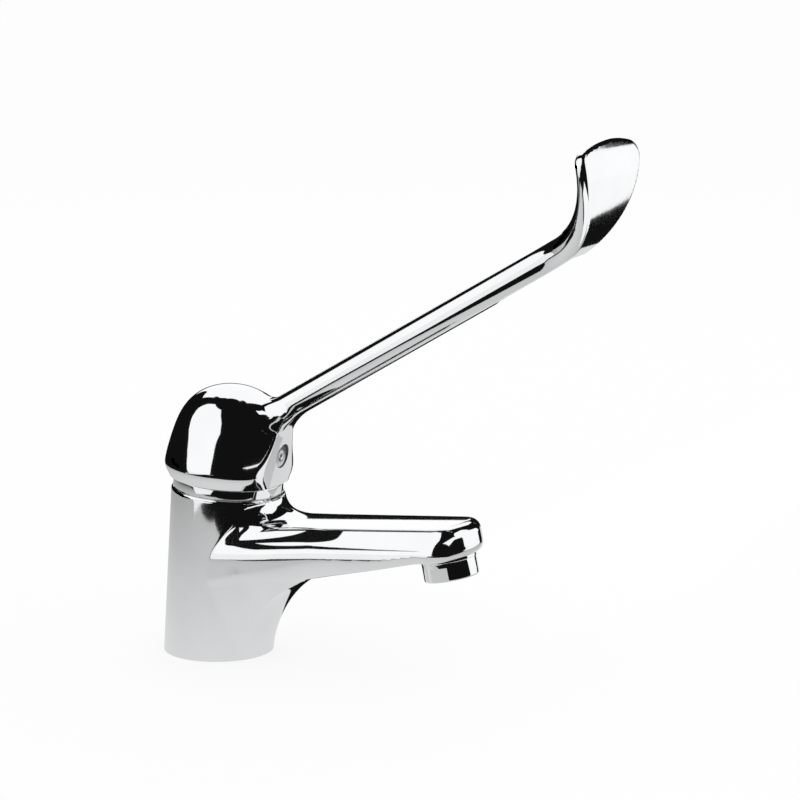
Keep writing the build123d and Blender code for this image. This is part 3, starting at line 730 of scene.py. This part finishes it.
housing_rounds = [0.0002, 0.0003, 0, 0.0003, 0, 0, 0.0008, 0.0003, 0, 0]
housing_outline = eased(housing_corners, housing_rounds)
housing = revolved("aerator_housing_turned", housing_outline, outlet, FLAT, FLAT_FROM + 2e-5)
keep_edges(housing, 25)
coat(housing, chrome)
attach(housing, "tap")
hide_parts("aerator_housing")


# Finishes of the pieces inside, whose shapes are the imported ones.
# Rubber seals, moulded plastic cartridge, lapped ceramic discs, drawn steel and a cut brass nut.
def moulded(name, base, other, rough, depth, scale=700.0, metal=0.0, stretch=(1, 1, 1)):
    """An even finish: a fine grain for roughness and bump, and a broad one for the colour."""
    finish = Finish(name, Metallic=metal)
    fine, broad = finish.noise(scale, 3.0, stretch), finish.noise(scale / 12)
    return finish.dress((broad, base, other), rough + fine * 0.12, fine, depth)


rubber = moulded("black_rubber", (0.020, 0.020, 0.021), (0.035, 0.035, 0.036), 0.62, 6e-5)
shell = moulded("cartridge_shell", (0.72, 0.72, 0.70), (0.66, 0.66, 0.64), 0.38, 3e-5)
dark_shell = moulded("cartridge_rotor", (0.06, 0.065, 0.075), (0.09, 0.095, 0.105), 0.36, 3e-5)
ceramic = moulded("lapped_ceramic", (0.86, 0.85, 0.81), (0.80, 0.79, 0.75), 0.18, 1e-5, 1600.0)
steel = moulded("drawn_steel", (0.58, 0.58, 0.58), (0.48, 0.48, 0.49), 0.22, 3e-5, 500.0, 1.0, (1, 1, 8))
jets = moulded("jet_plastic", (0.80, 0.80, 0.79), (0.72, 0.72, 0.72), 0.30, 2e-5)
mesh_steel = moulded("strainer_steel", (0.50, 0.50, 0.50), (0.40, 0.40, 0.41), 0.30, 2e-5, 900.0, 1.0)
inner_finishes = {
    "base_gasket": rubber, "base_seals": rubber, "disc_seal": rubber, "aerator_seal": rubber,
    "cartridge_base": shell, "cartridge_casing": shell, "disc_coupler": dark_shell, "carrier": dark_shell,
    "fixed_disc": ceramic, "moving_disc": ceramic, "pivot_pin": steel, "stem": brass, "handle_screw": steel,
    "cartridge_nut": brass, "aerator_insert": jets, "aerator_screen": mesh_steel}
for name, finish in inner_finishes.items():
    coat(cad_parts[name], finish)


# Floor and backdrop.
# The floor is pale paper that goes on into a white backdrop. The camera sees both as white, with
# the tap's soft shadow on the floor, while polished metal sees only a lit patch of the paper.
FLOOR_HALF = 6
DARK = 0.006
PAPER_GLOW, PAPER_FADE = 0.80, 0.95
PAPER_WHITE = 0.85
mesh = bpy.data.meshes.new("floor")
floor_corners = [(FLOOR_HALF * x, FLOOR_HALF * y, 0) for x, y in ((-1, -1), (1, -1), (1, 1), (-1, 1))]
mesh.from_pydata(floor_corners, [], [(0, 1, 2, 3)])
floor = bpy.data.objects.new("floor", mesh)
bpy.context.scene.collection.objects.link(floor)

paper = Finish("floor_paper", Roughness=0.9)
paper.feed(paper.shader.inputs["Base Color"], (0.95, 0.95, 0.95, 1))
seen = paper.node("ShaderNodeLightPath", {}, {}, "Is Camera Ray")
mirrored = paper.node("ShaderNodeLightPath", {}, {}, "Is Glossy Ray")
away = paper.node("ShaderNodeVectorMath", {"operation": "LENGTH"}, {0: paper.place}, "Value")
forwards = paper.node("ShaderNodeSeparateXYZ", {}, {0: paper.place}, "X")
leftwards = paper.node("ShaderNodeSeparateXYZ", {}, {0: paper.place}, "Y")
patch = ((leftwards - forwards * 1.1 > -0.272)
         * (leftwards - forwards * 0.25 > -0.25)
         * (leftwards < 0.3))
lit = paper.glow(seen + mirrored * (patch * (PAPER_GLOW - away * PAPER_FADE) + DARK))
plain = Wire(paper, paper.shader.outputs[0])
shares = {0: seen * PAPER_WHITE + mirrored, 1: plain, 2: lit}
coat(floor, paper.show(paper.node("ShaderNodeMixShader", {}, shares)))

world = bpy.data.worlds.new("studio")
world.use_nodes = True
sky = Nodes(world.node_tree)
backdrop = sky.tree.nodes["Background"]
sky.feed(backdrop.inputs["Color"], (1, 1, 1, 1))
in_mirror = sky.node("ShaderNodeLightPath", {}, {}, "Is Glossy Ray")
sky.feed(backdrop.inputs["Strength"], 1 - in_mirror * (1 - DARK))
bpy.context.scene.world = world


# Softboxes, reflectors and black flags.
# Each card stands round the tap and is seen only by polished metal: white cards give the chrome its
# bright windows, and black ones lie over them where it mirrors the dark studio. The compass angle
# goes from the spout's way to the left.
SKY_RADIUS, SKY_MIDDLE = 2, 0.1
FLOOR_CARD = 0.0005
FLAG_HEIGHT = 0.0768
CARD_STEPS = 24
SOFTBOX = 1.12
REFLECTOR = 1.1


def sky_row(elevation, start, end):
    """A row of a card on a sphere round the tap, between two compass angles in degrees."""
    climb = math.radians(elevation)
    return SKY_RADIUS * math.cos(climb), SKY_MIDDLE + SKY_RADIUS * math.sin(climb), start, end


def raised_row(radius, height, start, end):
    """A row of a card that lies level at a height."""
    return radius, height, start, end


def floor_row(radius, start, end):
    """A row of a card that lies on the floor."""
    return raised_row(radius, FLOOR_CARD, start, end)


def flag_row(radius, start, end):
    """A row of a black flag, level with the top of the column."""
    return raised_row(radius, FLAG_HEIGHT, start, end)


def card(name, level, *rows):
    """A card of one brightness: each row is an arc round the tap at its own radius and height, and the
    rows are joined by straight lines."""
    radius, height, start, end = np.array(rows, float).T
    share = np.linspace(0, 1, CARD_STEPS)[None, :]
    angle = np.radians(start[:, None] + (end - start)[:, None] * share)
    points = np.stack([radius[:, None] * np.cos(angle), radius[:, None] * np.sin(angle),
                       np.broadcast_to(height[:, None], angle.shape)], -1).reshape(-1, 3)
    row, item = np.meshgrid(np.arange(len(rows) - 1), np.arange(CARD_STEPS - 1), indexing="ij")
    first = (row * CARD_STEPS + item).ravel()
    above = first + CARD_STEPS
    made = mesh_of(name, points, np.stack([first, first + 1, above + 1, above], -1))
    light = Finish(name + "_light", Roughness=1.0)
    coat(made, light.show(light.glow(level)))
    made.visible_camera = made.visible_diffuse = False
    made.visible_shadow = made.visible_transmission = False


card("left_softbox", SOFTBOX, floor_row(2, 222, 266), sky_row(8, 216, 268), sky_row(16, 202, 271),
     sky_row(25, 194, 278), sky_row(40, 186, 277), sky_row(55, 186, 268), sky_row(68, 200, 255))
card("left_sheet", 1.0, floor_row(0.31, 232, 264), floor_row(0.6, 224, 270), floor_row(2.0, 222, 272))
card("left_flag", DARK, flag_row(0.05, 128, 242), flag_row(0.09, 128, 231), flag_row(0.2, 128, 222),
     flag_row(0.6, 128, 215))
card("front_flag", DARK, flag_row(0.05, 244, 345), flag_row(0.068, 250, 345))
card("middle_flag", DARK, flag_row(0.068, 250, 282), flag_row(0.2, 263, 282))
card("right_softbox", SOFTBOX, floor_row(2, 20, 72), sky_row(10, 12, 62), sky_row(20, 0, 46),
     sky_row(32, -4, 44), sky_row(46, 12, 38))
card("notch", DARK, floor_row(0.055, 55, 128), floor_row(0.149, 60, 128), floor_row(0.15, 84, 128),
     floor_row(0.39, 86.5, 128))
card("grey_sheet", 0.78, floor_row(0.15, 32, 84), floor_row(0.26, 52, 86), floor_row(0.35, 66, 87),
     floor_row(0.5, 74, 87), floor_row(0.9, 79, 87))
for name, lift, level in (("rear_ramp", 0.0006, REFLECTOR), ("rear_ramp_back", 0.0, DARK)):
    card(name, level, raised_row(0.16, 0.125 + lift, 52, 80), raised_row(0.25, 0.125 + lift, 52, 85),
         raised_row(0.5, 0.125 + lift, 66, 100), raised_row(1.0, 0.2 + lift, 78, 112),
         raised_row(2.0, 0.385 + lift, 82, 134))
card("right_sheet", REFLECTOR, floor_row(0.35, 8, 40), floor_row(0.5, 15, 57), floor_row(1.0, 20, 62),
     floor_row(2.0, 20, 66))
card("paddle_sheet", REFLECTOR, raised_row(0.2, 0.1, -38, 12), raised_row(0.34, 0.1, -30, 10))
card("rear_softbox", SOFTBOX, sky_row(8, 104, 134), sky_row(22, 98, 135), sky_row(30, 86, 138),
     sky_row(38, 85, 155), sky_row(68, 88, 157))


# Camera.
# It stands where the photograph was taken from, as solved from the foot's ellipse and the leaning
# outline, and its heading puts the tap at its place in the frame.
CAMERA_TURN = math.radians(30.5)
CAMERA_AWAY = 1.25
CAMERA_HEIGHT = 0.35136
CAMERA_PITCH = math.radians(10.756)
CAMERA_HEADING = math.radians(3.78)
CAMERA_LENS = 127.54
camera_data = bpy.data.cameras.new("camera")
camera_data.lens = CAMERA_LENS
camera_data.sensor_width = 36
camera = bpy.data.objects.new("camera", camera_data)
bpy.context.scene.collection.objects.link(camera)
camera.location = (
    CAMERA_AWAY * math.sin(CAMERA_TURN), -CAMERA_AWAY * math.cos(CAMERA_TURN), CAMERA_HEIGHT)
camera.rotation_euler = (math.pi / 2 - CAMERA_PITCH, 0, CAMERA_TURN - CAMERA_HEADING)
bpy.context.scene.camera = camera
bpy.context.scene.view_settings.view_transform = "Standard"
